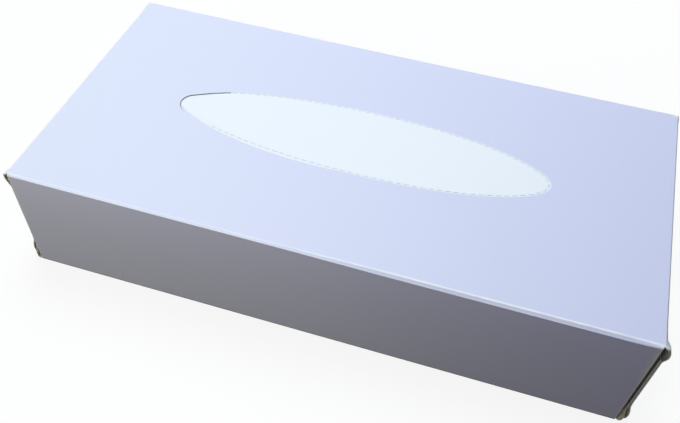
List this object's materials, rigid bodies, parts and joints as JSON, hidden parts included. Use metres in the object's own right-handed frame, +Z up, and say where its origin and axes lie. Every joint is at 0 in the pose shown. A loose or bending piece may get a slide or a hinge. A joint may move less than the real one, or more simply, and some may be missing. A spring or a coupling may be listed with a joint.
{
  "type": "tissue box",
  "caption": "Sealed flat folded-board tissue carton with rounded long folds, glued end flaps and a perforated oval tear-out cover in its top panel.",
  "frame": {"origin": "middle of the bottom panel, on the surface that the carton stands on", "axes": "+X along the carton's length, -Y towards the long front panel, +Z up through the perforated top panel"},
  "size_m": [0.2312, 0.1142, 0.0452],
  "materials": {
    "printed_board": "satin coated lilac print with a white oval on top, raw beige board at cut edges"
  },
  "bodies": {
    "root": {"carton": "printed_board"}
  },
  "joints": []
}
